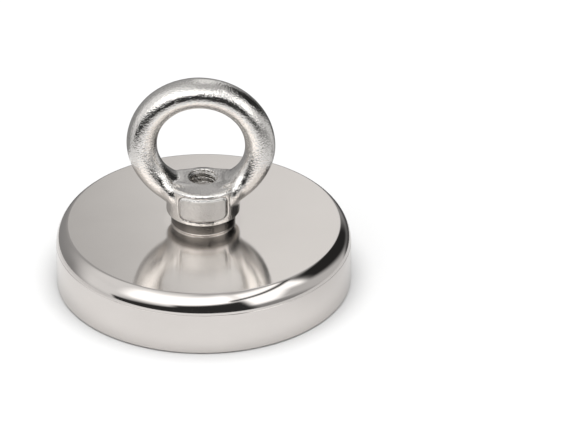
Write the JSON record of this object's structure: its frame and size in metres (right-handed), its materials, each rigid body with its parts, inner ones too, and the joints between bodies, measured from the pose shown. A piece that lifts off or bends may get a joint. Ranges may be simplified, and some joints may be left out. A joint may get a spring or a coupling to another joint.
{
  "type": "magnet fishing magnet",
  "caption": "Round steel pot magnet with a crowned, rounded top, a ring magnet potted in its base, and a cast eye nut standing on a countersunk screw for a rope.",
  "frame": {"origin": "centre of the magnetic face, in the plane of the pot's steel rim that rests on what the magnet grips", "axes": "+Z along the screw, from the magnetic face up through the eye; +X across the eye, which stands in the XZ plane; +Y through the eye, the way a rope passes"},
  "size_m": [0.06, 0.06, 0.0468],
  "materials": {
    "pot_nickel": "bright nickel plate over finely turned steel",
    "magnet_nickel": "satin nickel plate, lightly scuffed",
    "core_steel": "turned steel",
    "screw_steel": "rolled-thread stainless steel",
    "nut_steel": "cast stainless steel, tumbled and polished, with a fine grain",
    "epoxy": "cast black epoxy",
    "adhesive": "cured adhesive film"
  },
  "bodies": {
    "pot": {"pot_shell": "pot_nickel", "ring_magnet": "magnet_nickel", "magnet_adhesive_film": "adhesive", "outer_epoxy_ring": "epoxy", "inner_epoxy_ring": "epoxy", "centre_core": "core_steel"},
    "screw": {"countersunk_screw": "screw_steel"},
    "eye": {"eye_nut": "nut_steel"}
  },
  "joints": [
    {"name": "eye_lift", "type": "slide", "parent": "pot", "child": "eye", "axis": [0, 0, 1], "range_m": [0, 0.006]},
    {"name": "screw_turn", "type": "hinge", "parent": "pot", "child": "screw", "pos_m": [0, 0, 0], "axis": [0, 0, -1], "range_deg": [0, 2161]}
  ],
  "couplings": [
    {"joint": "screw_turn", "follows": "eye_lift", "rad_per_m": 6283.2}
  ]
}
